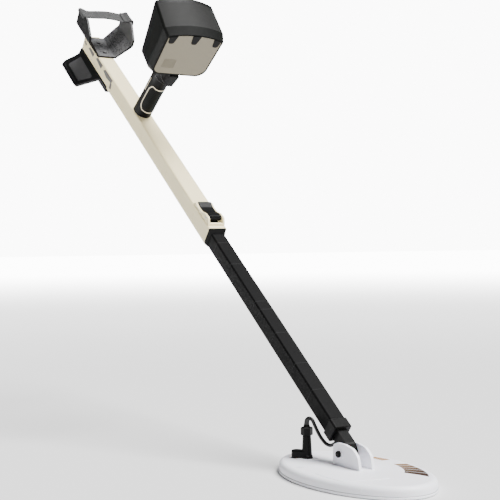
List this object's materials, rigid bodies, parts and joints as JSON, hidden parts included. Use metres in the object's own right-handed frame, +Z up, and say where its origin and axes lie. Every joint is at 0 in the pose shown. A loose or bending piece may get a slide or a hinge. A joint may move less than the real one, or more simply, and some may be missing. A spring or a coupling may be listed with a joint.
{
  "type": "metal detector",
  "caption": "Metal detector: oval search coil on a pivoting yoke, telescoping square shaft, leaning grip with control pod, arm cuff with strap and a stand.",
  "frame": {"origin": "on the ground under the coil pivot, with the coil lying flat", "axes": "+Z up, +X forward over the coil, +Y to the user's left; the shaft rises backwards along -X"},
  "size_m": [1.1414, 0.178, 0.8436],
  "materials": {
    "beige_paint": "semi-gloss",
    "panel_beige": "satin, fine grain",
    "trim_beige": "satin",
    "black_plastic": "fine grain",
    "grip_rubber": "matte",
    "cable_rubber": "satin",
    "pod_grey": "fine grain",
    "tube_black": "woven composite, matte",
    "coil_white": "satin",
    "cuff_grey": "moulded grain",
    "strap_fabric": "woven webbing",
    "window_glass": "clear",
    "display_dark": "dark screen",
    "board_green": "solder mask",
    "button_rubber": "matte",
    "steel": "brushed",
    "copper": "enamelled wire",
    "speaker_black": "matte",
    "cell_metal": "satin sleeve"
  },
  "bodies": {
    "shaft": {"upper_shaft": "beige_paint", "mouth_guide": "black_plastic", "latch_bracket": "beige_paint", "latch_pin": "steel", "grip_core": "black_plastic", "grip_sleeve": "grip_rubber", "grip_insert": "grip_rubber", "grip_trim": "trim_beige", "grip_screws": "steel", "neck": "black_plastic", "trigger_switch": "speaker_black", "pod_housing": "pod_grey", "pod_panel": "panel_beige", "panel_clips": "black_plastic", "speaker": "speaker_black", "pod_bezel": "black_plastic", "display_window": "window_glass", "display_module": "display_dark", "main_board": "board_green", "pod_screws": "steel", "headphone_socket": "speaker_black", "arm_cuff": "cuff_grey", "cuff_screws": "cuff_grey", "cuff_strap": "strap_fabric", "stand": "black_plastic", "stand_screws": "steel"},
    "latch_lever": {"latch_lever": "black_plastic"},
    "latch_shoe": {"latch_shoe": "black_plastic"},
    "lower_shaft": {"lower_tube": "tube_black", "yoke": "black_plastic", "ferrule": "black_plastic", "rear_glide": "black_plastic"},
    "coil": {"coil_shell": "coil_white", "skid_cover": "coil_white", "transmit_winding": "copper", "receive_winding": "copper", "cable_post": "black_plastic", "gland_nut": "black_plastic", "cable_boot": "grip_rubber", "coil_cable": "cable_rubber", "pivot_bolt": "black_plastic", "friction_washers": "grip_rubber"},
    "thumb_nut": {"thumb_nut": "black_plastic"},
    "trigger": {"pinpoint_trigger": "black_plastic"},
    "power_button": {"power_button": "button_rubber"},
    "menu_button": {"menu_button": "button_rubber"},
    "plus_button": {"plus_button": "button_rubber"},
    "minus_button": {"minus_button": "button_rubber"},
    "battery_drawer": {"battery_carrier": "black_plastic", "battery_cells": "cell_metal", "end_cap": "beige_paint"}
  },
  "joints": [
    {"name": "latch_turn", "type": "hinge", "parent": "shaft", "child": "latch_lever", "pos_m": [-0.39221, 0, 0.38717], "axis": [0, 1, 0], "range_deg": [0, 110]},
    {"name": "shoe_lift", "type": "slide", "parent": "shaft", "child": "latch_shoe", "axis": [0.6143, 0, 0.7891], "range_m": [0, 0.0006]},
    {"name": "shaft_slide", "type": "slide", "parent": "shaft", "child": "lower_shaft", "axis": [-0.7891, 0, 0.6143], "range_m": [-0.03, 0.36]},
    {"name": "coil_tilt", "type": "hinge", "parent": "lower_shaft", "child": "coil", "pos_m": [0, 0, 0.0347], "axis": [0, 1, 0], "range_deg": [-60, 32], "deforming": ["coil_cable"]},
    {"name": "nut_turn", "type": "hinge", "parent": "coil", "child": "thumb_nut", "pos_m": [0, 0.02, 0.0347], "axis": [0, 1, 0], "continuous": true},
    {"name": "trigger_pull", "type": "slide", "parent": "shaft", "child": "trigger", "axis": [-0.5606, 0, 0.8281], "range_m": [0, 0.004], "stiffness_N_per_m": 600},
    {"name": "power_press", "type": "slide", "parent": "shaft", "child": "power_button", "axis": [0.7373, 0, -0.6756], "range_m": [0, 0.0012], "stiffness_N_per_m": 800},
    {"name": "menu_press", "type": "slide", "parent": "shaft", "child": "menu_button", "axis": [0.7373, 0, -0.6756], "range_m": [0, 0.0012], "stiffness_N_per_m": 800},
    {"name": "plus_press", "type": "slide", "parent": "shaft", "child": "plus_button", "axis": [0.7373, 0, -0.6756], "range_m": [0, 0.0012], "stiffness_N_per_m": 800},
    {"name": "minus_press", "type": "slide", "parent": "shaft", "child": "minus_button", "axis": [0.7373, 0, -0.6756], "range_m": [0, 0.0012], "stiffness_N_per_m": 800},
    {"name": "battery_slide", "type": "slide", "parent": "shaft", "child": "battery_drawer", "axis": [-0.7891, 0, 0.6143], "range_m": [0, 0.13]}
  ],
  "couplings": [
    {"joint": "shoe_lift", "follows": "latch_turn", "m_per_rad": 0.00031252}
  ]
}
